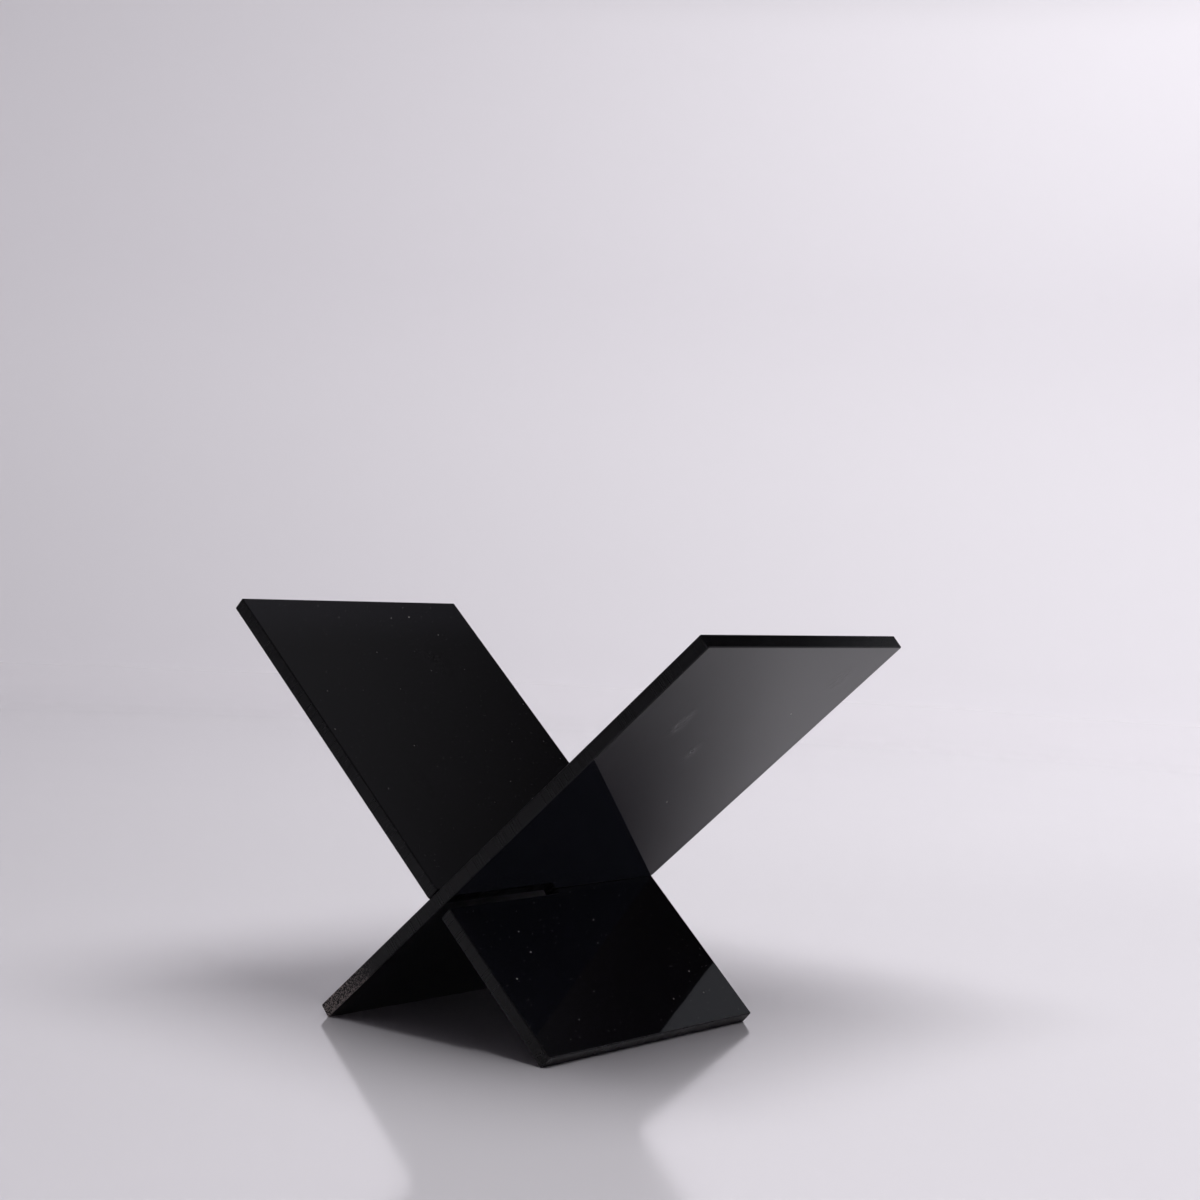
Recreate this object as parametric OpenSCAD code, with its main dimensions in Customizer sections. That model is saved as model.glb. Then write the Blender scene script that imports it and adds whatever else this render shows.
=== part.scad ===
// Two-plate cross stand with a V cradle.
// Two flat acrylic plates, each slotted halfway across, cross in an X. The upper arms are the sides
// of the cradle and the lower ends are the feet. No glue, pin or screw: one plate slides out of the
// other and both store flat. X runs along the cradle, Y along the slots from the front edge to the
// back one and Z up. The origin is on the floor, in the middle of the footprint.

/* [Plates] */
// Length of each plate, from its foot to its top edge
plate_l = 200; // [160:5:260]
// Width of each plate, from its front edge to its back edge
plate_w = 110; // [70:5:160]
// Thickness of the acrylic sheet
sheet_t = 5; // [3:0.5:8]
// Radius of the four outer corners, seen square to the sheet
corner_r = 0.5; // [0.5:0.1:5]
// Polished 45 degree arris along every edge of the sheet
arris = 0.3; // [0.1:0.05:0.4]

/* [Cross joint] */
// Distance from a plate's foot to the middle of the crossing
cross_from_foot = 65; // [45:5:90]
// Width of the snug slot beyond the sheet's thickness: this play sets how far the plates lean
snug_clearance = 0.5; // [0.3:0.1:1.2]
// Extra width of the easy slot, all below the plate that it straddles
easy_extra = 2; // [0.5:0.5:4]
// Radius that the cutter leaves in a slot's inner corners
slot_corner_r = 0.25; // [0.1:0.05:0.6]
// Air between the two slots' inner ends when the plates are flush
end_clearance = 0.1; // [0.05:0.05:0.5]
// Bevel that eases the mouth of each slot
mouth_bevel = 0.5; // [0.2:0.1:1.5]

/* [Hidden] */
$fn = 64;
acrylic_black = [0.03, 0.03, 0.035];

// Air kept where the plates bear on each other
touch_gap = 0.02;
// How far a cutter runs past the surface that it cuts
overrun = 1;

snug_w = sheet_t + snug_clearance;
easy_w = snug_w + easy_extra;
// The slots meet halfway, less the air between their rounded inner ends
slot_depth = plate_w / 2 + slot_corner_r + end_clearance / 2;

// A plate tips in the snug slot until its faces bear on the slot's opposite edges, and there the load
// on the arms holds it. bearing_w is the slot's width between those edges, and flat_t is the
// thickness of slot wall that is left between the two arrises.
bearing_w = snug_w - 2 * touch_gap;
flat_t = sheet_t - 2 * arris;
bearing_diagonal = norm([bearing_w, flat_t]);
tip = acos(sheet_t / bearing_diagonal) - atan2(flat_t, bearing_w);
// Both plates lean by the same angle from the floor
lean = (90 - tip) / 2;
// Height of the crossing with the foot's lower arris on the floor
foot_relief = arris * min(sin(lean), cos(lean));
cross_h = cross_from_foot * sin(lean) + sheet_t / 2 * cos(lean) - foot_relief;

// Outline of a bar across its thickness. The sides stand straight for flat either side of the middle,
// then turn at 45 degrees for run: inwards to an arris where way is -1, outwards to a flare where it
// is 1.
function bar_section(half, flat, run, way) = [
    [-half - way * run, -flat - run],
    [half + way * run, -flat - run],
    [half, -flat],
    [half, flat],
    [half + way * run, flat + run],
    [-half - way * run, flat + run],
    [-half, flat],
    [-half, -flat]
];

// The same edge turned round a corner of the radius given
function corner_section(radius, flat, run, way) = [
    [0, -flat - run],
    [radius + way * run, -flat - run],
    [radius, -flat],
    [radius, flat],
    [radius + way * run, flat + run],
    [0, flat + run]
];

// Rectangle of sheet from [0, 0] to [length, width] with round corners and worked edges
module worked_slab(length, width, radius, flat, run, way) {
    translate([length / 2, width - radius, 0])
        rotate([90, 0, 0])
            linear_extrude(width - 2 * radius)
                polygon(bar_section(length / 2, flat, run, way));
    translate([radius, width / 2, 0])
        rotate([90, 0, 90])
            linear_extrude(length - 2 * radius)
                polygon(bar_section(width / 2, flat, run, way));
    for (x = [radius, length - radius], y = [radius, width - radius])
        translate([x, y, 0])
            rotate_extrude()
                polygon(corner_section(radius, flat, run, way));
}

// What is cut away for a slot in the front edge, between low and high along the plate
module slot_cut(low, high) {
    front = -plate_w / 2;
    translate([low, front - overrun, 0])
        worked_slab(high - low, slot_depth + overrun, slot_corner_r, flat_t / 2, arris + overrun, 1);
    translate([0, front, -sheet_t / 2 - overrun])
        linear_extrude(sheet_t + 2 * overrun)
            polygon([
                [low - mouth_bevel - overrun, -overrun],
                [high + mouth_bevel + overrun, -overrun],
                [high, mouth_bevel],
                [low, mouth_bevel]
            ]);
}

// A plate lying flat with its foot at X = 0 and its slot open at the front edge. Both slots share
// their upper wall, which is the one that rides on the other plate.
module slotted_plate(slot_w) {
    slot_high = cross_from_foot + snug_w / 2;
    difference() {
        translate([0, -plate_w / 2, 0])
            worked_slab(plate_l, plate_w, corner_r, flat_t / 2, arris, -1);
        slot_cut(slot_high - slot_w, slot_high);
    }
}

// Stands a flat plate up, turned about the crossing
module stand_up(angle) {
    translate([0, 0, cross_h])
        rotate([0, -angle, 0])
            translate([-cross_from_foot, 0, 0])
                children();
}

// Foot on the left, top on the right. Its snug slot opens at the back and holds the lean.
module rear_slot_plate() {
    color(acrylic_black)
        stand_up(lean)
            mirror([0, 1, 0])
                slotted_plate(snug_w);
}

// Foot on the right, top on the left. Its easy slot opens at the front and straddles the other plate.
module front_slot_plate() {
    color(acrylic_black)
        stand_up(180 - lean)
            slotted_plate(easy_w);
}

rear_slot_plate();
front_slot_plate();
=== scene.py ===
# %% [markdown]
# # A cross stand in black acrylic
# The object is two flat plates of black acrylic sheet. Each is slotted halfway across, and one slides
# into the other to make an X. The upper arms are a cradle and the lower ends are the feet. Nothing
# else holds it together, so the whole look is in four things: mirror-flat faces, cut edges with a
# scraped arris, the marks of use, and what the gloss reflects.
#
# The imported model comes first. It is the frame that everything else is placed in, in metres, with Z
# up and the floor at zero. Its box is kept, and printed.

# %% Load the frame
import math

import bmesh
import bpy
from mathutils import Matrix, Vector


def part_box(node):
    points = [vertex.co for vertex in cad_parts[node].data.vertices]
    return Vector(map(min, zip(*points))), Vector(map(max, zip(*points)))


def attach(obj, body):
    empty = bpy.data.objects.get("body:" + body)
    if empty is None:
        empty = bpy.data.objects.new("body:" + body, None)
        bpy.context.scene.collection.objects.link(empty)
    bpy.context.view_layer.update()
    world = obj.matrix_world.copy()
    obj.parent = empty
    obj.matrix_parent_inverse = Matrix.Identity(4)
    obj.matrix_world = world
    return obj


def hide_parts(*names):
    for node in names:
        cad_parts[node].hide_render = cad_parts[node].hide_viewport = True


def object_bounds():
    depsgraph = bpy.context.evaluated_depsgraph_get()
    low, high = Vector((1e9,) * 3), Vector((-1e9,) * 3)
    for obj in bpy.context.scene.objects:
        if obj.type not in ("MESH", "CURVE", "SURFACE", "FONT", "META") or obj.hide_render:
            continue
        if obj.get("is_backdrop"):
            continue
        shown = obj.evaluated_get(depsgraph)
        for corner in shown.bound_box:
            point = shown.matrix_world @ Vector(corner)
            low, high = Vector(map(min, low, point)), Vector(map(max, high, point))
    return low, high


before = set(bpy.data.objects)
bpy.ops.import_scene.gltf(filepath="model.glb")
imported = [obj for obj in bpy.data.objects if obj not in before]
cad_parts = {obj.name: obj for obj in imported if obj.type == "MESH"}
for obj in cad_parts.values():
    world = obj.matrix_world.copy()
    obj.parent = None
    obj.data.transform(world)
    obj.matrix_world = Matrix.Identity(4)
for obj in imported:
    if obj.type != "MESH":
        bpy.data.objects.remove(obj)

bpy.context.view_layer.update()
cad_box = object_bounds()
print("CAD box:", [[round(value, 5) for value in corner] for corner in cad_box])

# %% [markdown]
# ## Reading the plates off the frame
# Each packed plate already lies where it belongs, so its size and its lean are read from it and not
# typed again. The largest flat of a plate is its face, and the face's normal says how the plate
# leans. Measured along that lean the plate has its length, and square to it the sheet's thickness.
# Both middle planes pass through one line along Y, the crossing, which lies at X = 0.

# %% Measure where each plate stands
MM = 0.001
ALONG_Y = Vector((0, 1, 0))


def measure_plate(node):
    """The plate's middle at the crossing, its directions, and its size from there."""
    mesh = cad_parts[node].data
    face = max(mesh.polygons, key=lambda flat: flat.area)
    upwards = ALONG_Y.cross(face.normal).normalized()
    if upwards.z < 0:
        upwards.negate()
    square_to_face = upwards.cross(ALONG_Y)
    heights = [corner.co.dot(upwards) for corner in mesh.vertices]
    depths = [corner.co.dot(square_to_face) for corner in mesh.vertices]
    middle = (max(depths) + min(depths)) / 2
    crossing = Vector((0, 0, middle / square_to_face.z))
    low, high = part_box(node)
    return {
        "node": node,
        "upwards": upwards,
        "square_to_face": square_to_face,
        "crossing": crossing,
        "foot": min(heights) - crossing.dot(upwards),
        "top": max(heights) - crossing.dot(upwards),
        "half_width": (high.y - low.y) / 2,
        "thickness": max(depths) - min(depths),
    }


rear = measure_plate("rear_slot_plate")
front = measure_plate("front_slot_plate")
for plate in (rear, front):
    lean = math.degrees(math.asin(plate["upwards"].z))
    sizes = [plate["top"] - plate["foot"], 2 * plate["half_width"], plate["thickness"]]
    print(plate["node"], "leans", round(lean, 3), "degrees:", [round(size / MM, 2) for size in sizes], "mm")

# %% [markdown]
# ## Cutting a plate
# On the bench a plate is cut from sheet and the slot is milled in from one long edge. Here it could
# be a box with a smaller box cut out of it, but a boolean leaves messy faces round the slot, and on a
# mirror finish every bad face shows. So the plate is made the way it is marked out: a flat rectangle,
# three straight cuts for the slot, the waste taken out, the corners eased while the outline is still
# flat, and only then the thickness of the sheet.
#
# Two helpers come first. One opens a piece for editing with nothing else selected. The other picks
# points, edges or faces by a test of where they are, as a hand would click them.

# %% Helpers for working on one piece
TINY = 0.001 * MM


def open_piece(piece):
    """Makes this the only selected object and opens it for editing."""
    bpy.ops.object.select_all(action="DESELECT")
    piece.select_set(True)
    bpy.context.view_layer.objects.active = piece
    bpy.ops.object.mode_set(mode="EDIT")


def pick(piece, kind, test):
    """Selects the parts of one kind that pass the test and nothing else. Says how many there are."""
    bpy.ops.mesh.select_mode(type=kind)
    bpy.ops.mesh.select_all(action="DESELECT")
    mesh = bmesh.from_edit_mesh(piece.data)
    parts = {"VERT": mesh.verts, "EDGE": mesh.edges, "FACE": mesh.faces}[kind]
    chosen = [part for part in parts if test(part)]
    for part in chosen:
        part.select_set(True)
    mesh.select_flush_mode()
    bmesh.update_edit_mesh(piece.data)
    return len(chosen)


def near(value, target):
    return abs(value - target) < TINY


# %% [markdown]
# The outline is drawn with the crossing at the origin, the foot towards -X and the top towards +X.
# The slot opens at one long edge, and is one sheet's thickness wide plus some play. Both slots share
# their upper side, so the wider slot of the front plate has all its extra room below.

# %% Mark out the flat outline and cut the slot
SNUG_SLOT = 5.5 * MM
EASY_SLOT = 7.5 * MM
SLOT_DEPTH = 55.3 * MM
STRAIGHT = math.radians(1)


def mark_slot(plate, slot_width, open_side):
    """The slot's sides, its end and its mouth. open_side is 1 where it opens towards +Y."""
    high = SNUG_SLOT / 2
    return {
        "low": high - slot_width,
        "high": high,
        "end": open_side * (plate["half_width"] - SLOT_DEPTH),
        "mouth": open_side * plate["half_width"],
        "open_side": open_side,
    }


def flat_outline(name, plate, slot):
    """A flat face with the plate's outline."""
    foot, top, half_width = plate["foot"], plate["top"], plate["half_width"]
    bpy.ops.object.select_all(action="DESELECT")
    bpy.ops.mesh.primitive_plane_add(size=1)
    piece = bpy.context.active_object
    piece.name = name
    piece.data.name = name
    open_piece(piece)
    bpy.ops.transform.resize(value=(top - foot, 2 * half_width, 1))
    bpy.ops.transform.translate(value=((top + foot) / 2, 0, 0))
    for line, square_to_line in (
        ((slot["low"], 0, 0), (1, 0, 0)),
        ((slot["high"], 0, 0), (1, 0, 0)),
        ((0, slot["end"], 0), (0, 1, 0)),
    ):
        bpy.ops.mesh.select_all(action="SELECT")
        bpy.ops.mesh.bisect(plane_co=line, plane_no=square_to_line)

    def is_waste(face):
        middle = face.calc_center_median()
        past_end = (middle.y - slot["end"]) * slot["open_side"] > 0
        return past_end and slot["low"] < middle.x < slot["high"]

    waste = pick(piece, "FACE", is_waste)
    bpy.ops.mesh.delete(type="FACE")
    bpy.ops.mesh.select_all(action="SELECT")
    bpy.ops.mesh.dissolve_limited(angle_limit=STRAIGHT)
    bpy.ops.object.mode_set(mode="OBJECT")
    print(name, "outline:", waste, "waste piece out,", len(piece.data.vertices), "corners left")
    return piece


# %% [markdown]
# A corner fresh from the saw is eased until it no longer pricks, which leaves a radius of half a
# millimetre. The cutter leaves a smaller one inside the slot, and the mouth is bevelled so that the
# plates find each other. On a flat outline each of these is a bevel of single points.

# %% Ease the corners of the outline
CORNER_RADIUS = 0.5 * MM
SLOT_CORNER_RADIUS = 0.25 * MM
MOUTH_BEVEL = 0.5 * MM
CORNER_STEPS = 6
SLOT_CORNER_STEPS = 4


def ease_corners(piece, plate, slot):
    def is_corner(point):
        return near(point.co.x, plate["foot"]) or near(point.co.x, plate["top"])

    def on_slot_side(point):
        return near(point.co.x, slot["low"]) or near(point.co.x, slot["high"])

    def is_slot_corner(point):
        return on_slot_side(point) and near(point.co.y, slot["end"])

    def is_mouth(point):
        return on_slot_side(point) and near(point.co.y, slot["mouth"])

    open_piece(piece)
    for test, offset, steps in (
        (is_corner, CORNER_RADIUS, CORNER_STEPS),
        (is_slot_corner, SLOT_CORNER_RADIUS, SLOT_CORNER_STEPS),
        (is_mouth, MOUTH_BEVEL, 1),
    ):
        found = pick(piece, "VERT", test)
        bpy.ops.mesh.bevel(offset=offset, segments=steps, affect="VERTICES")
        print(piece.name, test.__name__, "eased:", found)
    bpy.ops.object.mode_set(mode="OBJECT")


# %% [markdown]
# ## Thickness, arris and buffing
# A cut edge of acrylic is sharp enough to scratch, so the maker draws a scraper along it at 45
# degrees. That narrow flat is the arris. Polishing then softens the arris's own two edges. A plain
# round bevel would stand out past the scraped flat and put the foot through the floor, so the edge is
# made as the maker makes it: one flat bevel first, and a much smaller round one on its two edges.

# %% Give the outline its thickness and work the edges
ARRIS = 0.3 * MM
BUFFED = 0.07 * MM
BUFFED_STEPS = 2
ARRIS_TURN = (math.radians(40), math.radians(50))
LEVEL = 0.99


def is_level(face):
    """True for the two large faces of a plate that lies flat."""
    return abs(face.normal.z) > LEVEL


def work_edges(piece, thickness):
    """Turns the flat outline into a plate of this thickness, with a scraped and buffed arris."""
    open_piece(piece)
    bpy.ops.mesh.select_all(action="SELECT")
    lift = {"value": (0, 0, thickness)}
    bpy.ops.mesh.extrude_region_move(TRANSFORM_OT_translate=lift)
    bpy.ops.mesh.select_all(action="SELECT")
    bpy.ops.mesh.normals_make_consistent(inside=False)
    bpy.ops.transform.translate(value=(0, 0, -thickness / 2))

    def is_rim(edge):
        return len({is_level(face) for face in edge.link_faces}) == 2

    def is_arris_edge(edge):
        low, high = ARRIS_TURN
        return low < edge.calc_face_angle(0) < high

    rims = pick(piece, "EDGE", is_rim)
    bpy.ops.mesh.bevel(offset=ARRIS, segments=1, affect="EDGES")
    arrises = pick(piece, "EDGE", is_arris_edge)
    bpy.ops.mesh.bevel(offset=BUFFED, segments=BUFFED_STEPS, affect="EDGES")
    bpy.ops.object.mode_set(mode="OBJECT")
    print(piece.name, rims, "rim edges scraped,", arrises, "arris edges buffed")


# %% [markdown]
# Gloss needs exact normals. Smooth shading alone would bend the reflections near every edge, so the
# normals are weighted by the area of the faces: the sheet stays flat as glass and only the arris
# rolls.

# %% Keep the large faces flat
SHARP_FROM = math.radians(40)
AREA_WEIGHT = 100


def flatten_normals(piece):
    bpy.ops.object.select_all(action="DESELECT")
    piece.select_set(True)
    bpy.context.view_layer.objects.active = piece
    bpy.ops.object.shade_smooth_by_angle(angle=SHARP_FROM)
    weighting = piece.modifiers.new("flat faces", "WEIGHTED_NORMAL")
    weighting.mode = "FACE_AREA"
    weighting.weight = AREA_WEIGHT
    weighting.keep_sharp = True
    bpy.ops.object.modifier_apply(modifier=weighting.name)


# %% [markdown]
# ## Standing the plate up
# The plate is finished flat, because every test of place is simple there. Then it is turned to the
# directions that were measured and moved to the crossing, and the move is applied. The object ends at
# the origin with its place in its mesh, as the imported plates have, so it rides with its body and its
# finish can be laid out from the same origin.

# %% Make both plates and stand them up
FACE_FINISH, EDGE_FINISH = 0, 1


def plate_turn(plate):
    """The turn from the bench, where a plate lies flat, to the way that it stands."""
    return Matrix((plate["upwards"], ALONG_Y, plate["square_to_face"])).transposed()


def stand_up(piece, plate):
    piece.matrix_world = Matrix.Translation(plate["crossing"]) @ plate_turn(plate).to_4x4()
    bpy.ops.object.transform_apply(location=True, rotation=True, scale=True)


def make_plate(name, plate, slot):
    piece = flat_outline(name, plate, slot)
    ease_corners(piece, plate, slot)
    work_edges(piece, plate["thickness"])
    for face in piece.data.polygons:
        face.material_index = FACE_FINISH if is_level(face) else EDGE_FINISH
    flatten_normals(piece)
    stand_up(piece, plate)
    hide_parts(plate["node"])
    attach(piece, plate["node"])
    plate["piece"] = piece


make_plate("rear_plate", rear, mark_slot(rear, SNUG_SLOT, 1))
make_plate("front_plate", front, mark_slot(front, EASY_SLOT, -1))

# %% [markdown]
# Before the finishes the shape is checked. Each edge has to join exactly two faces, or the plate isn't
# a closed solid, and buffing only takes away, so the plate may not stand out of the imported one's box.

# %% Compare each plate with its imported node


def check_plate(plate):
    """Prints how far the modelled plate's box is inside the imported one's, and its volume."""
    mesh = bmesh.new()
    mesh.from_mesh(plate["piece"].data)
    open_edges = sum(not edge.is_manifold for edge in mesh.edges)
    volume = mesh.calc_volume() / MM**3
    points = [point.co for point in mesh.verts]
    low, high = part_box(plate["node"])
    inside_low = [min(point[axis] for point in points) - low[axis] for axis in range(3)]
    inside_high = [high[axis] - max(point[axis] for point in points) for axis in range(3)]
    gaps = [round(gap / MM, 4) for gap in inside_low + inside_high]
    print(plate["piece"].name, len(mesh.faces), "faces,", open_edges, "open edges")
    print("  volume", round(volume, 1), "mm3")
    print("  inside the packed box by", gaps, "mm")
    mesh.free()


check_plate(rear)
check_plate(front)

# %% [markdown]
# ## A small language for finishes
# A finish is a tree of nodes, but it reads best as sums: how rough, plus how scratched, times how
# worn. The class Flow stands for one value on its way through the tree, and each sum or product adds
# the Math node that it needs.

# %% One value on its way through a finish


class Flow:
    """One value on its way through a finish. Arithmetic on it adds Math nodes."""

    def __init__(self, finish, socket):
        self.finish = finish
        self.socket = socket

    def math(self, operation, *values):
        return self.finish.node("ShaderNodeMath", {"operation": operation}, dict(enumerate(values)))

    def __add__(self, other):
        return self.math("ADD", self, other)

    def __sub__(self, other):
        return self.math("SUBTRACT", self, other)

    def __rsub__(self, other):
        return self.math("SUBTRACT", other, self)

    def __mul__(self, other):
        return self.math("MULTIPLY", self, other)

    def __truediv__(self, other):
        return self.math("DIVIDE", self, other)

    __radd__ = __add__
    __rmul__ = __mul__

    def size(self):
        return self.math("ABSOLUTE", self)

    def ramp(self, start, end):
        """0 at start and 1 at end, with a soft turn at both. start may be the larger."""
        settings = {"interpolation_type": "SMOOTHSTEP"}
        sockets = {"Value": self, "From Min": start, "From Max": end}
        return self.finish.node("ShaderNodeMapRange", settings, sockets)

    def output(self, name):
        """Another output of the node that this value comes from."""
        return Flow(self.finish, self.socket.node.outputs[name])


# %% [markdown]
# The class Finish holds the tree and its shader. Its method node adds any other kind of node: first
# the settings are made, then the sockets get their numbers or links. The nodes that are used over and
# over have methods of their own, and set feeds the shader at the end.

# %% The nodes that feed one shader


class Finish:
    """The nodes that feed one shader."""

    def __init__(self, tree, shader):
        self.tree = tree
        self.shader = shader

    def fill(self, socket, value):
        if isinstance(value, Flow):
            self.tree.links.new(value.socket, socket)
        else:
            socket.default_value = value

    def node(self, kind, settings=None, sockets=None, out=0):
        made = self.tree.nodes.new(kind)
        for name, value in (settings or {}).items():
            setattr(made, name, value)
        for name, value in (sockets or {}).items():
            self.fill(made.inputs[name], value)
        return Flow(self, made.outputs[out])

    def vector(self, x, y, z):
        return self.node("ShaderNodeCombineXYZ", None, {"X": x, "Y": y, "Z": z})

    def noise(self, vector, scale, detail, seed):
        settings = {"noise_dimensions": "4D"}
        sockets = {"Vector": vector, "W": seed, "Scale": scale, "Detail": detail}
        return self.node("ShaderNodeTexNoise", settings, sockets)

    def blend(self, share, base, top):
        factor, first, second, result = 0, 6, 7, 2
        sockets = {factor: share, first: base, second: top}
        return self.node("ShaderNodeMix", {"data_type": "RGBA"}, sockets, result)

    def bump(self, height):
        """The normal of a surface whose height is given in millimetres."""
        sockets = {"Strength": 1.0, "Distance": MM, "Height": height}
        return self.node("ShaderNodeBump", None, sockets)

    def set(self, values):
        for name, value in values.items():
            self.fill(self.shader.inputs[name], value)


def new_finish(name):
    """A new material and the Finish that writes it."""
    material = bpy.data.materials.new(name)
    material.use_nodes = True
    return material, Finish(material.node_tree, material.node_tree.nodes["Principled BSDF"])


# %% [markdown]
# A pattern has to lie on the plate as the plate lay on the bench. The Mapping node undoes the
# standing up: it takes the crossing as its origin, turns the place back flat, and gives millimetres.

# %% Lay a finish out along the plate


def bench_place(finish, plate):
    """Where a point is on the plate as it lies on the bench, in millimetres from the crossing:
    along it towards the top, across it towards +Y, and up through its thickness."""
    sockets = {
        "Vector": finish.node("ShaderNodeTexCoord").output("Object"),
        "Location": plate["crossing"],
        "Rotation": plate_turn(plate).to_euler(),
        "Scale": (MM, MM, MM),
    }
    laid = finish.node("ShaderNodeMapping", {"vector_type": "TEXTURE"}, sockets)
    along = finish.node("ShaderNodeSeparateXYZ", None, {"Vector": laid})
    return laid, along, along.output("Y"), along.output("Z")


# %% [markdown]
# ## Marks on the faces
# Handling leaves three kinds of marks on a glossy sheet. Hairlines are thin, short and mostly
# parallel, because they come from one wipe or one slide. Touches are smeared ovals that dull the
# gloss. Dust is a scatter of pale specks, a few large ones and many too small to see singly. Lengths
# are in millimetres here. Each CUT says where a noise, which runs from 0 to 1, starts to count and
# where it counts in full, and so how rare the mark is.

# %% Hairlines
HAIRLINE_LENGTH = 18.0
HAIRLINE_WIDTH = 0.22
HAIRLINE_CUT = (0.70, 0.76)
WIPED_PATCH = 22.0
WIPED_CUT = (0.50, 0.66)


def hairlines(finish, along, across, degrees, seed):
    """Short thin scratches that run at this angle to the plate's length, from 0 to 1."""
    turn, lift = math.cos(math.radians(degrees)), math.sin(math.radians(degrees))
    length = along * (turn / HAIRLINE_LENGTH) + across * (lift / HAIRLINE_LENGTH)
    width = across * (turn / HAIRLINE_WIDTH) - along * (lift / HAIRLINE_WIDTH)
    lines = finish.noise(finish.vector(length, width, 0.0), 1.0, detail=1.0, seed=seed)
    patches = finish.noise(finish.vector(along, across, 0.0), 1 / WIPED_PATCH, detail=1.0, seed=seed + 3)
    return lines.ramp(*HAIRLINE_CUT) * patches.ramp(*WIPED_CUT)


# %% Touches of a finger
TOUCH_FADE = (1.0, 0.1)
SKIN_RIDGE = 0.9
SKIN_CUT = (0.30, 0.62)


def touch(finish, along, across, place, reach, seed):
    """A smeared touch of a finger, from 0 to 1."""
    from_along = (along - place[0]) / reach[0]
    from_across = (across - place[1]) / reach[1]
    middle = (from_along * from_along + from_across * from_across).ramp(*TOUCH_FADE)
    ridges = finish.noise(finish.vector(along, across, 0.0), 1 / SKIN_RIDGE, detail=2.0, seed=seed)
    return middle * ridges.ramp(*SKIN_CUT)


# %% Dust
CLEAN_CELLS = 0.75
SPECK_RIM = 0.15


def specks(finish, along, across, spacing, largest, seed):
    """Dust: a speck in some of the cells of a loose grid, from 0 to 1."""
    shifted = finish.vector(along + seed, across + seed, 0.0)
    settings = {"voronoi_dimensions": "2D"}
    from_middle = finish.node("ShaderNodeTexVoronoi", settings, {"Vector": shifted, "Scale": 1 / spacing})
    luck = finish.node("ShaderNodeSeparateColor", None, {"Color": from_middle.output("Color")})
    radius = luck.ramp(CLEAN_CELLS, 1.0) * (largest / spacing)
    return (radius - from_middle).ramp(0.0, SPECK_RIM * largest / spacing)


def dust_grain(along, across, place, radius):
    """One grain of dust at this place, from 0 to 1."""
    from_along, from_across = along - place[0], across - place[1]
    return (from_along * from_along + from_across * from_across).ramp(radius**2, 0.0)


# %% [markdown]
# ## The faces of the sheet
# Black acrylic is a deep, slightly blue black under a surface as smooth as glass, so what shows on it
# is reflection: a few per cent where it is looked at squarely, and a fifth of the light at a low
# angle. The refractive index of acrylic, 1.49, gives that by itself. The rest is small: a sheet is
# faintly wavy, smears leave a grey haze in the black and dull the gloss a little, and dust settles
# more on the side that faces up.
#
# The marks are laid out first, each by its own function, as values from 0 to 1. A pair such as
# COARSE_DUST is the spacing of the specks and the size of the largest.

# %% Lay out the marks on a face
SIDE_BLEND = 0.5
WAVE_LENGTH = 45.0
SMEAR_LENGTH = 14.0
SMEAR_CUT = (0.50, 0.74)
HAIRLINE_TURNS = ((82, 3), (-12, 5), (31, 9))
RUB_WIDTH, RUB_LENGTH = 0.25, 30.0
RUB_FADE = (7.0, 3.0)
COARSE_DUST, FINE_DUST = (9.0, 0.24), (2.4, 0.08)
DUST_UNDERNEATH = 0.3


def scratched(finish, along, across, seed):
    """Hairlines in three directions, each with the step to its own seed."""
    lines = 0.0
    for degrees, step in HAIRLINE_TURNS:
        lines = lines + hairlines(finish, along, across, degrees, seed + step)
    return lines


def rubbed(finish, along, across, seed):
    """The band at the crossing, where the other plate slides."""
    stretched = finish.vector(along / RUB_WIDTH, across / RUB_LENGTH, 0.0)
    streaks = finish.noise(stretched, 1.0, detail=2.0, seed=seed + 11)
    return along.size().ramp(*RUB_FADE) * streaks


def dusted(finish, along, across, faces_up, grains, seed):
    coarse = specks(finish, along, across, *COARSE_DUST, seed)
    fine = specks(finish, along, across, *FINE_DUST, seed + 7)
    dust = (coarse + fine) * (DUST_UNDERNEATH + (1 - DUST_UNDERNEATH) * faces_up)
    for place, radius in grains:
        dust = dust + dust_grain(along, across, place, radius)
    return dust


# %% [markdown]
# Then each mark adds its share to the colour, the roughness and the height. Heights are in
# millimetres: a hairline is less than a thousandth deep, and the sheet's waves are far too flat to be
# seen but for the way that they bend a reflection.

# %% Finish for the faces
ACRYLIC_IOR = 1.49
ACRYLIC_BLACK = (0.0036, 0.0035, 0.0048, 1)
SMEAR_HAZE = (0.0085, 0.0080, 0.0088, 1)
DUST_GREY = (0.50, 0.48, 0.46, 1)
RUB_SHARE = 0.3
SMEARS_IN_HAZE, MARKS_IN_HAZE, FULL_HAZE = 0.6, 0.4, 1.5
FACE_ROUGHNESS = 0.018
SMEAR_ROUGHNESS, MARK_ROUGHNESS, DUST_ROUGHNESS = 0.05, 0.25, 0.7
WAVE_HEIGHT, TOUCH_HEIGHT, HAIRLINE_DEPTH, DUST_HEIGHT = 0.05, 0.03, 0.0008, 0.02


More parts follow.
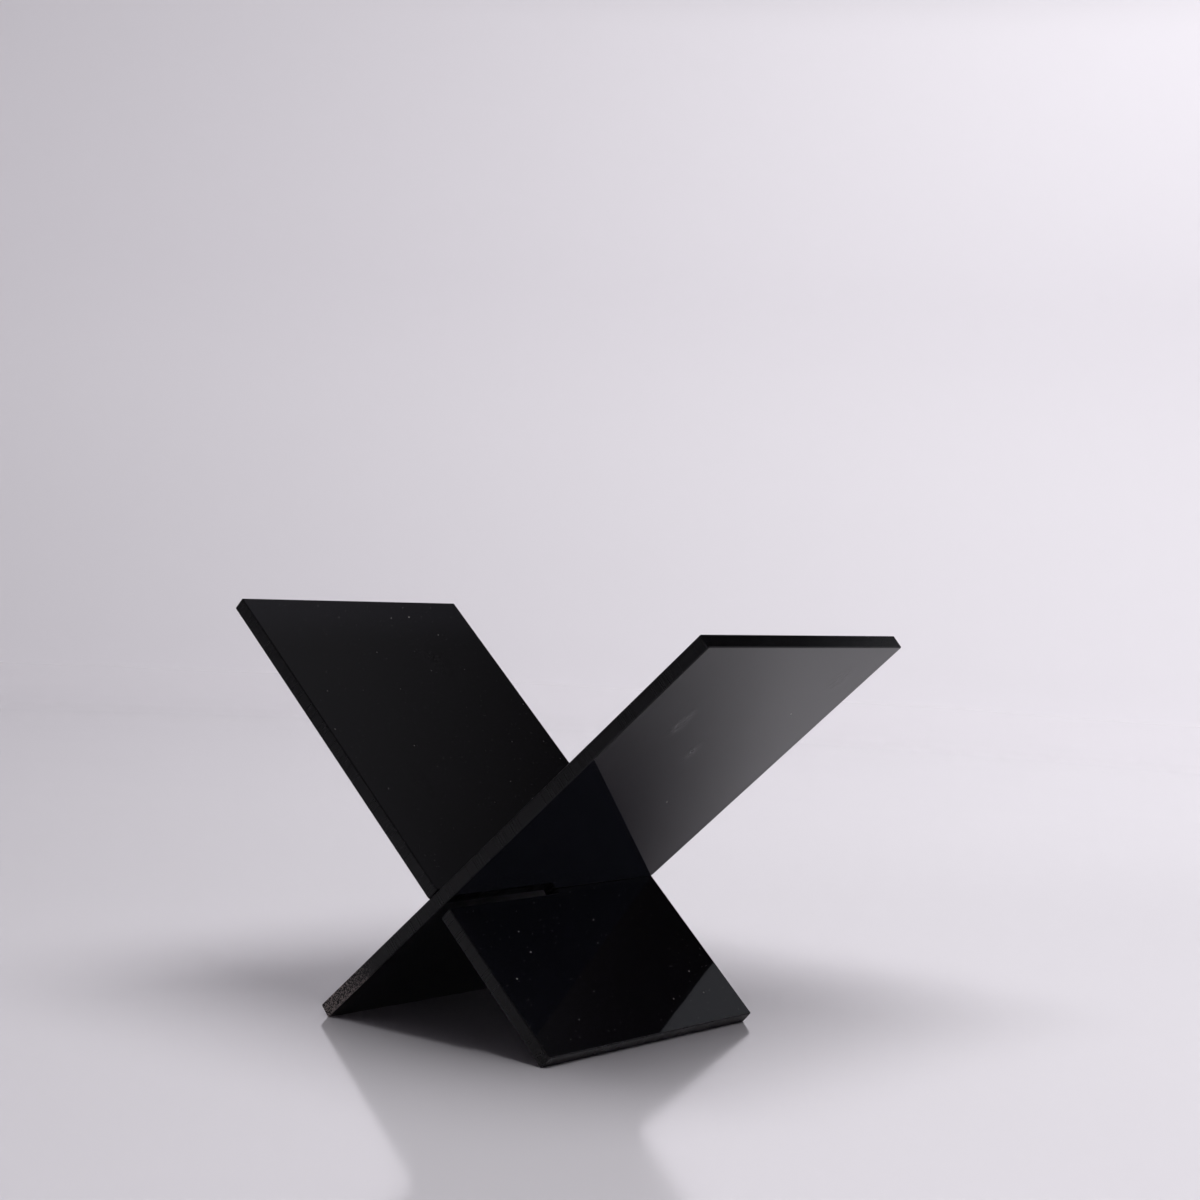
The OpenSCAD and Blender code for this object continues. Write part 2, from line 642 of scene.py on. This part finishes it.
def face_finish(name, plate, seed, touches, grains):
    """touches are (place, reach) and grains are (place, radius), all in millimetres."""
    material, finish = new_finish(name)
    laid, along, across, through = bench_place(finish, plate)
    faces_up = through.ramp(-SIDE_BLEND, SIDE_BLEND)
    if plate["square_to_face"].z < 0:
        faces_up = 1 - faces_up
    waves = finish.noise(laid, 1 / WAVE_LENGTH, detail=1.0, seed=seed)
    smears = finish.noise(laid, 1 / SMEAR_LENGTH, detail=4.0, seed=seed + 1).ramp(*SMEAR_CUT)
    pressed = 0.0
    for place, reach in touches:
        pressed = pressed + touch(finish, along, across, place, reach, seed + 2)
    scratches = scratched(finish, along, across, seed)
    marks = scratches + RUB_SHARE * rubbed(finish, along, across, seed)
    dust = dusted(finish, along, across, faces_up, grains, seed)
    haze = (SMEARS_IN_HAZE * smears + MARKS_IN_HAZE * marks + pressed).ramp(0.0, FULL_HAZE)
    black = finish.blend(haze, ACRYLIC_BLACK, SMEAR_HAZE)
    rough = SMEAR_ROUGHNESS * smears + MARK_ROUGHNESS * (pressed + marks) + DUST_ROUGHNESS * dust
    height = WAVE_HEIGHT * waves + TOUCH_HEIGHT * pressed - HAIRLINE_DEPTH * scratches + DUST_HEIGHT * dust
    finish.set({
        "Base Color": finish.blend(dust.ramp(0.0, 1.0), black, DUST_GREY),
        "Roughness": FACE_ROUGHNESS + rough,
        "Normal": finish.bump(height),
        "IOR": ACRYLIC_IOR,
    })
    return material


# %% [markdown]
# ## The cut edges
# The cutter leaves fine lines across the thickness of the sheet. Scraping and buffing take most of
# them away, so an edge is satin where a face is mirror, and throws back less light. The top ends show
# most and are polished a little further. Noise that depends only on where a point is along and across
# the plate, and not on its height through the sheet, draws those lines the right way round on every
# edge at once, slots included. The feet are the exception: they stand and drag on the table, so the
# rear plate's last centimetres are scuffed grey and grainy, and its lower arris is rubbed bare there.

# %% Wear at the foot
CUTTER_LINE, CUTTER_BAND = 0.45, 5.0
SCUFF_GRAIN, SCUFF_CUT = 0.42, (0.42, 0.62)
SCUFF_REACH, SCUFF_RAGGED = (38.0, 2.0), 12.0
BARE_SHARE, BARE_DEPTH, BARE_REACH = 0.35, (1.2, 2.3), (36.0, 8.0)


def foot_wear(finish, plate, place, bands, seed):
    """Grey grain near the foot, and the lower arris rubbed bare. Each REACH fades away from the foot."""
    laid, along, _, through = place
    from_foot = along - plate["foot"] / MM + SCUFF_RAGGED * (bands - 0.5)
    rough_grain = finish.noise(laid, 1 / SCUFF_GRAIN, detail=2.0, seed=seed + 2)
    scuff = from_foot.ramp(*SCUFF_REACH) * rough_grain.ramp(*SCUFF_CUT)
    lower = through if plate["square_to_face"].z < 0 else -1.0 * through
    bare = lower.ramp(*BARE_DEPTH) * from_foot.ramp(*BARE_REACH)
    return scuff + BARE_SHARE * bare


# %% [markdown]
# Small wear is the same on every edge: pits that the scraper leaves, and patches where the arris has
# gone grey. The rest is as for the faces, with shares of colour, roughness and height.

# %% Finish for the edges
EDGE_BLACK = (0.0026, 0.0026, 0.0034, 1)
SCUFF_GREY = (0.33, 0.285, 0.265, 1)
EDGE_ROUGHNESS, BAND_ROUGHNESS, LINE_ROUGHNESS, WORN_ROUGHNESS = 0.17, 0.12, 0.10, 0.35
EDGE_GLOSS = 0.25
TOP_POLISH, TOP_FROM, TOP_TO = 0.3, 1.0, 0.4
WEAR_PATCH, WEAR_CUT, ARRIS_DEPTH = 3.0, (0.55, 0.75), (2.1, 2.4)
PIT_SIZE, PIT_CUT = 0.7, (0.66, 0.72)
ARRIS_SHARE, PIT_SHARE = 0.04, 0.03
LINE_HEIGHT, WORN_HEIGHT, PIT_DEPTH = 0.002, 0.02, 0.01


def edge_finish(name, plate, seed, scuffing):
    """scuffing says how worn the foot is, from 0 to 1."""
    material, finish = new_finish(name)
    place = bench_place(finish, plate)
    laid, along, across, through = place
    flat_place = finish.vector(along, across, 0.0)
    lines = finish.noise(flat_place, 1 / CUTTER_LINE, detail=2.0, seed=seed)
    bands = finish.noise(flat_place, 1 / CUTTER_BAND, detail=1.0, seed=seed + 1)
    worn = foot_wear(finish, plate, place, bands, seed) * scuffing
    polished = along.ramp(plate["top"] / MM - TOP_FROM, plate["top"] / MM - TOP_TO)
    patches = finish.noise(laid, 1 / WEAR_PATCH, detail=3.0, seed=seed + 4).ramp(*WEAR_CUT)
    arris_wear = through.size().ramp(*ARRIS_DEPTH) * patches
    pits = finish.noise(laid, 1 / PIT_SIZE, detail=2.0, seed=seed + 6).ramp(*PIT_CUT)
    shade = (worn + ARRIS_SHARE * arris_wear + PIT_SHARE * pits).ramp(0.0, 1.0)
    satin = EDGE_ROUGHNESS + BAND_ROUGHNESS * bands + LINE_ROUGHNESS * lines
    finish.set({
        "Base Color": finish.blend(shade, EDGE_BLACK, SCUFF_GREY),
        "Roughness": satin * (1 - TOP_POLISH * polished) + WORN_ROUGHNESS * worn,
        "Normal": finish.bump(LINE_HEIGHT * lines + WORN_HEIGHT * worn - PIT_DEPTH * pits),
        "IOR": ACRYLIC_IOR,
        "Specular IOR Level": EDGE_GLOSS,
    })
    return material


# %% [markdown]
# Each plate gets its own two finishes, with its own seeds, so that no mark repeats. The finger marks
# and the larger grains of dust are set one by one. A touch goes through to both sides, as a finger and
# a thumb leave it, and it shows most on the underside, which mirrors the pale floor.

# %% Dress both plates
REAR_TOUCHES = [((80.7, -5.3), (7.0, 3.0)), ((97.0, -28.0), (9.0, 4.0)), ((118.0, 38.0), (8.0, 6.0))]
REAR_GRAINS = [((51.7, 12.4), 0.45), ((99.5, 30.6), 0.4)]
REAR_SEEDS, REAR_SCUFFING = (11.0, 31.0), 1.0
FRONT_TOUCHES = [((104.0, 22.0), (10.0, 7.0)), ((48.0, -30.0), (9.0, 5.0))]
FRONT_GRAINS = [((64.0, -20.0), 0.4)]
FRONT_SEEDS, FRONT_SCUFFING = (53.0, 71.0), 0.12


def dress(plate, seeds, touches, grains, scuffing):
    piece = plate["piece"]
    face_seed, edge_seed = seeds
    faces = face_finish(piece.name + "_faces", plate, face_seed, touches, grains)
    edges = edge_finish(piece.name + "_edges", plate, edge_seed, scuffing)
    piece.data.materials.append(faces)
    piece.data.materials.append(edges)
    on_edges = sum(face.material_index == EDGE_FINISH for face in piece.data.polygons)
    print(piece.name, "wears", faces.name, "and", edges.name, "on", on_edges, "small faces")


dress(rear, REAR_SEEDS, REAR_TOUCHES, REAR_GRAINS, REAR_SCUFFING)
dress(front, FRONT_SEEDS, FRONT_TOUCHES, FRONT_GRAINS, FRONT_SCUFFING)

# %% [markdown]
# ## The studio
# Gloss shows its surroundings, so the set matters as much as the finish. The stand is in the middle
# of a round paper cove: a flat floor that bends up into a wall. From any side the background is the
# same pale paper, and over its rim the studio is dark, which is what keeps the sloping faces black.
# The rim's height decides where the dark begins: at this one the faces that look up mirror nothing but
# the dark. The cove is a circle whose edge is extruded and widened step by step round a quarter bend.

# %% Make the cove
FLOOR_RADIUS = 1.25
BEND_RADIUS = 0.45
BEND_STEPS = 12
RIM_HEIGHT = 1.0
COVE_SIDES = 128
COVE_SHARP_FROM = math.radians(30)


def make_cove():
    bpy.ops.object.select_all(action="DESELECT")
    bpy.ops.mesh.primitive_circle_add(vertices=COVE_SIDES, radius=FLOOR_RADIUS, fill_type="NGON")
    cove = bpy.context.active_object
    cove.name = "paper_cove"
    stations = []
    for step in range(1, BEND_STEPS + 1):
        angle = math.pi / 2 * step / BEND_STEPS
        reach = FLOOR_RADIUS + BEND_RADIUS * math.sin(angle)
        stations.append((reach, BEND_RADIUS * (1 - math.cos(angle))))
    stations.append((FLOOR_RADIUS + BEND_RADIUS, RIM_HEIGHT))
    open_piece(cove)
    pick(cove, "EDGE", lambda edge: True)
    radius, height = FLOOR_RADIUS, 0.0
    for next_radius, next_height in stations:
        lift = {"value": (0, 0, next_height - height)}
        bpy.ops.mesh.extrude_edges_move(TRANSFORM_OT_translate=lift)
        widen = next_radius / radius
        bpy.ops.transform.resize(value=(widen, widen, 1), center_override=(0, 0, next_height))
        radius, height = next_radius, next_height
    bpy.ops.mesh.select_all(action="SELECT")
    bpy.ops.mesh.normals_make_consistent(inside=True)
    bpy.ops.object.mode_set(mode="OBJECT")
    bpy.ops.object.shade_smooth_by_angle(angle=COVE_SHARP_FROM)
    cove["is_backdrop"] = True
    return cove


cove = make_cove()
print("cove:", len(cove.data.polygons), "faces,", [round(size, 3) for size in cove.dimensions], "m")

# %% [markdown]
# The paper is a pale lilac. On the floor it has a sheen, which mirrors the feet softly at the
# camera's low angle. Up the wall it is matt, and towards the rim its colour is painted darker:
# painted shade, which keeps the wall's upper part dim where the plates mirror it.

# %% Finish for the paper
PAPER_WHITE = (0.73, 0.705, 0.745, 1)
# The grey is painted shade towards the rim.
PAPER_SHADE_GREY = (0.085, 0.087, 0.096, 1)
PAPER_SHEEN = 1.0
FLOOR_ROUGHNESS, MOTTLE_ROUGHNESS, WALL_ROUGHNESS = 0.09, 0.04, 0.6
MOTTLE_SCALE, PAPER_SEED = 9.0, 5.0
WALL_FROM = 0.08
SHADE_FROM, SHADE_TO = 0.73, 0.98

paper, paper_finish = new_finish("pale_paper")
paper_place = paper_finish.node("ShaderNodeTexCoord").output("Object")
paper_height = paper_finish.node("ShaderNodeSeparateXYZ", None, {"Vector": paper_place}).output("Z")
mottle = paper_finish.noise(paper_place, MOTTLE_SCALE, detail=2.0, seed=PAPER_SEED)
on_wall = paper_height.ramp(0.0, WALL_FROM)
floor_to_wall = (WALL_ROUGHNESS - FLOOR_ROUGHNESS) * on_wall
paper_finish.set({
    # Painted shade: the paper's colour darkens towards the rim.
    "Base Color": paper_finish.blend(paper_height.ramp(SHADE_FROM, SHADE_TO), PAPER_WHITE, PAPER_SHADE_GREY),
    "Roughness": FLOOR_ROUGHNESS + MOTTLE_ROUGHNESS * mottle + floor_to_wall,
    "Specular IOR Level": PAPER_SHEEN,
})
cove.data.materials.append(paper)

# %% [markdown]
# One large softbox hangs over the stand, a little to the right, and a second one washes the wall
# behind it, so the background brightens to the right. A narrow spread keeps each box's light off the
# rest of the set. The large box isn't shown in the gloss, because the floor's sheen would mirror it as
# a white patch in every view from above.

# %% Hang the softboxes


def softbox(name, place, aim, width, height, watts, spread):
    lamp = bpy.data.lights.new(name, "AREA")
    lamp.shape = "RECTANGLE"
    lamp.size, lamp.size_y = width, height
    lamp.energy = watts
    lamp.spread = math.radians(spread)
    box = bpy.data.objects.new(name, lamp)
    bpy.context.scene.collection.objects.link(box)
    box.location = place
    box.rotation_euler = (Vector(aim) - Vector(place)).to_track_quat("-Z", "Y").to_euler()
    box.visible_camera = False
    print(name, "hangs at", place)
    return box


key = softbox(
    "key_softbox",
    place=(0.50, 0.14, 1.55),
    aim=(0.22, 0.26, 0),
    width=1.1,
    height=1.1,
    watts=15.4,
    spread=140,
)
key.visible_glossy = False
softbox(
    "wall_softbox",
    place=(0.55, 0.85, 1.35),
    aim=(-0.70, 1.6, 0.7),
    width=0.7,
    height=0.5,
    watts=10.6,
    spread=120,
)

# %% [markdown]
# Under a loaded cradle the floor is dim, and the underside of the rear plate mirrors that: dark near
# the crossing, brighter towards its top. A photographer gets the same on an empty stand with flags,
# black cards that keep the top light off part of the set. One hangs over the arms and one lies low
# between the feet. Only their shade counts, so the camera and the gloss look straight through them.
#
# Two more cards are there for the gloss alone, and what they show is painted reflection. Each plate
# mirrors the other, which mirrors the wall to the right, and a pale wall there turns the crossing
# milky. So a deep blue-grey card stands in front of it, clear to all light but what two mirrors have
# turned: a painted dark reflection at the crossing. The fourth card is small, grey and glows by
# itself, though it is no lamp: the lower corner of the front plate mirrors it as a slanted patch, a
# painted reflection.

# %% Place the cards


def show_after_two_mirrors(finish):
    """Leaves a card clear to all light that two mirrors haven't turned on its way."""
    mirrors = finish.node("ShaderNodeLightPath").output("Glossy Depth")
    clear = finish.node("ShaderNodeBsdfTransparent")
    cloth = Flow(finish, finish.shader.outputs["BSDF"])
    share, first, second = 0, 1, 2
    shown = finish.node("ShaderNodeMixShader", None, {share: mirrors - 1, first: clear, second: cloth})
    finish.tree.links.new(shown.socket, finish.tree.nodes["Material Output"].inputs["Surface"])


def card(name, color, size, place, turn, glow=0.0):
    """A card of this size, turned about its middle and set in its place, and its finish."""
    bpy.ops.object.select_all(action="DESELECT")
    bpy.ops.mesh.primitive_plane_add(size=1, location=place, rotation=turn)
    made = bpy.context.active_object
    made.name = name
    made.scale = (*size, 1)
    bpy.ops.object.transform_apply(location=True, rotation=True, scale=True)
    cloth, cloth_finish = new_finish(name + "_cloth")
    cloth_finish.set({
        "Base Color": color,
        "Roughness": 1.0,
        "Emission Color": color,
        "Emission Strength": glow,
    })
    made.data.materials.append(cloth)
    made.visible_camera = False
    made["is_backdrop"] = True
    print(name, [round(side, 3) for side in made.dimensions], "m")
    return made, cloth_finish


CARD_BLACK = (0.01, 0.01, 0.01, 1)
# The blue-grey is a painted dark reflection, seen only after two mirrors.
DOUBLE_REFLECTION_BLUE = (0.19, 0.21, 0.30, 1)
FLAT = (0, 0, 0)
UPRIGHT = (math.radians(90), 0, math.radians(-40))
# The corner card's grey glow is a painted reflection on the front plate's lower corner.
CORNER_REFLECTION_GREY = (0.170, 0.175, 0.190, 1)
CORNER_TURN = (math.radians(130.5), math.radians(-26.8), math.radians(-30.7))
GLOSS_PLACE = (0.68, 0.855, 0.22)
CORNER_PLACE = (0.2527, 1.1039, 0.7225)
CORNER_SIZE = (0.18, 0.14)
CORNER_REFLECTION_GLOW = 1.0

arm_flag, _ = card("arm_flag", CARD_BLACK, size=(0.20, 0.215), place=(0.02, 0.0425, 0.15), turn=FLAT)
foot_flag, _ = card("foot_flag", CARD_BLACK, size=(0.06, 0.142), place=(-0.006, 0.014, 0.022), turn=FLAT)
for flag in (arm_flag, foot_flag):
    flag.visible_glossy = False
gloss_card, gloss_cloth = card("gloss_card", DOUBLE_REFLECTION_BLUE, size=(0.24, 0.32), place=GLOSS_PLACE, turn=UPRIGHT)
show_after_two_mirrors(gloss_cloth)
corner_reflection_card, _ = card("corner_reflection_card", CORNER_REFLECTION_GREY, CORNER_SIZE, CORNER_PLACE, CORNER_TURN, CORNER_REFLECTION_GLOW)
for shown in (gloss_card, corner_reflection_card):
    shown.visible_diffuse = False
    shown.visible_shadow = False

# %% [markdown]
# Over the rim the studio is dark, and only from well above does a little light come down. It gives
# the inside of the cradle a faint sheen that fades towards the crossing.

# %% Light from the ceiling
STUDIO_DARK = (0.012, 0.010, 0.012, 1)
CEILING_GREY = (0.16, 0.155, 0.17, 1)
SHEEN_FROM, SHEEN_TO = math.sin(math.radians(36)), math.sin(math.radians(50))

world = bpy.data.worlds.new("dark_studio")
bpy.context.scene.world = world
world.use_nodes = True
ceiling = Finish(world.node_tree, world.node_tree.nodes["Background"])
look = ceiling.node("ShaderNodeTexCoord").output("Generated")
look_up = ceiling.node("ShaderNodeSeparateXYZ", None, {"Vector": look}).output("Z")
ceiling.set({"Color": ceiling.blend(look_up.ramp(SHEEN_FROM, SHEEN_TO), STUDIO_DARK, CEILING_GREY)})
bpy.context.scene.view_settings.view_transform = "Standard"

# %% [markdown]
# ## The camera
# It looks from the front right, a little above the crossing, through a fairly long lens and turned a
# few degrees about its axis, as the photograph was taken. The place and the angles come from fitting
# the corners of both plates to the photograph.

# %% Set up the camera
CAMERA_PLACE = Vector((0.4813, -0.5889, 0.1595))
CAMERA_TURN = math.radians(38.267)
CAMERA_PITCH = math.radians(-1.164)
CAMERA_ROLL = math.radians(3.036)
PICTURE_SIDE = 1200
FOCAL_PIXELS = 2236.3
SENSOR_MM = 36.0
NEAREST = 0.01

lens = bpy.data.cameras.new("camera")
lens.sensor_width = SENSOR_MM
lens.lens = FOCAL_PIXELS / PICTURE_SIDE * SENSOR_MM
lens.clip_start = NEAREST
camera = bpy.data.objects.new("camera", lens)
bpy.context.scene.collection.objects.link(camera)
ahead = Vector((
    -math.sin(CAMERA_TURN) * math.cos(CAMERA_PITCH),
    math.cos(CAMERA_TURN) * math.cos(CAMERA_PITCH),
    math.sin(CAMERA_PITCH),
))
level = Vector((math.cos(CAMERA_TURN), math.sin(CAMERA_TURN), 0))
above = level.cross(ahead)
rightwards = level * math.cos(CAMERA_ROLL) + above * math.sin(CAMERA_ROLL)
upright = above * math.cos(CAMERA_ROLL) - level * math.sin(CAMERA_ROLL)
facing = Matrix((rightwards, upright, -ahead)).transposed()
camera.matrix_world = Matrix.Translation(CAMERA_PLACE) @ facing.to_4x4()
bpy.context.scene.camera = camera
print("camera lens", round(lens.lens, 2), "mm at", [round(value, 4) for value in CAMERA_PLACE])

# %% [markdown]
# ## The size at the end
# The finished model has to lie inside the imported one's box. Both boxes are gathered, and the
# finished one's is printed.

# %% Gather both boxes and print the finished one
bpy.context.view_layer.update()
visual_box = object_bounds()
sizes = {"cad": [list(corner) for corner in cad_box], "visual": [list(corner) for corner in visual_box]}
print("visual box:", [[round(value, 5) for value in corner] for corner in visual_box])
